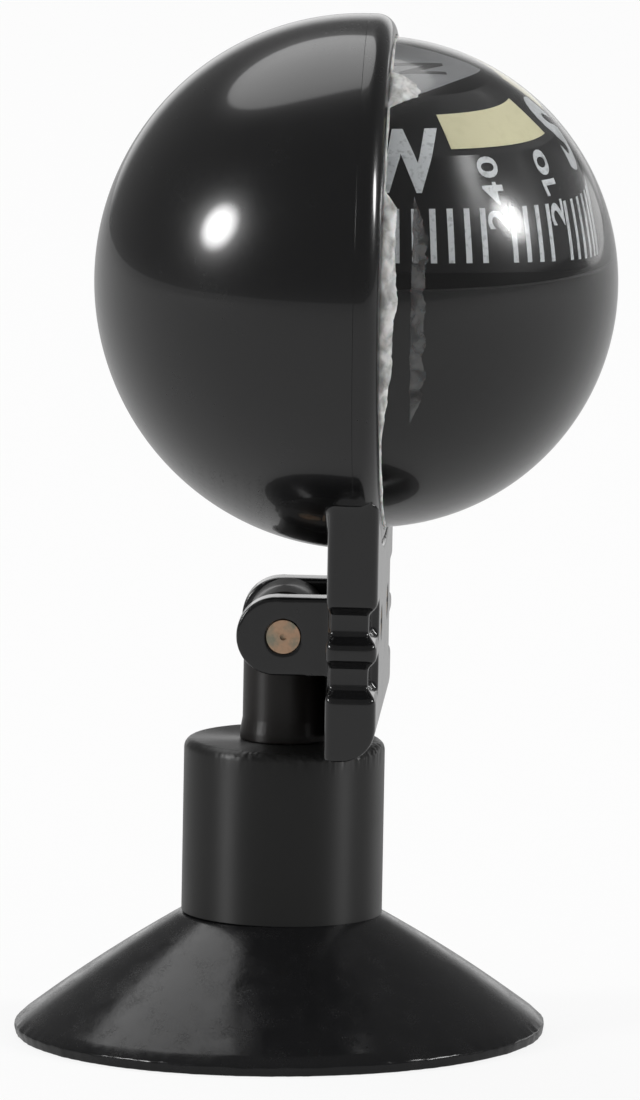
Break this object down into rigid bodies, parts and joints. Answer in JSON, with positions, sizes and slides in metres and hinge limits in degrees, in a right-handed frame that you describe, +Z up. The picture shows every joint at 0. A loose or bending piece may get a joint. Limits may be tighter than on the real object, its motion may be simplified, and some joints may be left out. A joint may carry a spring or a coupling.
{
  "type": "car dashboard compass",
  "caption": "Ball compass for a dashboard: a fluid-filled dome with a floating card, on a tilting and turning stem with a suction cup.",
  "frame": {"origin": "centre of the suction cup's lip, on the surface that it grips", "axes": "+Z up, the clear dome and its dial face -Y, and +X is to the right of someone who faces along +Y"},
  "size_m": [0.0554, 0.0625, 0.1064],
  "materials": {
    "cup_rubber": "glossy black PVC rubber",
    "collar_plastic": "satin dark grey ABS, worn at the top edge",
    "stem_plastic": "black ABS, half gloss",
    "steel": "zinc plated",
    "rivet_brass": "dull, tarnished",
    "shell_plastic": "glossy black ABS",
    "dome_acrylic": "clear polished acrylic",
    "sealant": "whitish cured glue",
    "seal_rubber": "black nitrile rubber",
    "bowl_plastic": "black ABS",
    "card_enamel": "black card with white and cream printing",
    "float_plastic": "white plastic foam",
    "jewel": "synthetic ruby",
    "magnet_steel": "dark magnet steel",
    "adjuster_brass": "turned brass"
  },
  "bodies": {
    "base": {"suction_cup": "cup_rubber", "collar": "collar_plastic"},
    "stem": {"stem": "stem_plastic", "swivel_washer": "steel", "swivel_screw": "steel"},
    "head": {"hinge_rivet": "rivet_brass", "rear_shell": "shell_plastic", "front_bezel": "shell_plastic", "clear_dome": "dome_acrylic", "seam_sealant": "sealant", "capsule_gasket": "seal_rubber", "capsule_bowl": "bowl_plastic", "expansion_diaphragm": "seal_rubber", "diaphragm_ring": "bowl_plastic", "fill_plug": "seal_rubber", "bowl_liner": "bowl_plastic", "pivot_post": "bowl_plastic", "pivot_needle": "steel"},
    "card": {"compass_card": "card_enamel", "card_float": "float_plastic", "jewel_cup": "jewel", "card_magnets": "magnet_steel"},
    "north_trim": {"north_adjuster": "adjuster_brass", "north_trim_magnet": "magnet_steel"},
    "east_trim": {"east_adjuster": "adjuster_brass", "east_trim_magnet": "magnet_steel"}
  },
  "joints": [
    {"name": "stem_swivel", "type": "hinge", "parent": "base", "child": "stem", "pos_m": [0, -0.00056, 0.03079], "axis": [0, -0.0183, 0.9998], "continuous": true},
    {"name": "head_tilt", "type": "hinge", "parent": "stem", "child": "head", "pos_m": [0, -0.00078, 0.04269], "axis": [1, 0, 0], "range_deg": [-90, 0]},
    {"name": "card_spin", "type": "hinge", "parent": "head", "child": "card", "pos_m": [0, -0.0098, 0.08719], "axis": [0.1323, 0, 0.9912], "continuous": true},
    {"name": "north_trim_turn", "type": "hinge", "parent": "head", "child": "north_trim", "pos_m": [-0.007, -0.00881, 0.04415], "axis": [0, -0.9998, -0.0183], "continuous": true},
    {"name": "east_trim_turn", "type": "hinge", "parent": "head", "child": "east_trim", "pos_m": [0.007, -0.00881, 0.04415], "axis": [0, -0.9998, -0.0183], "continuous": true}
  ]
}
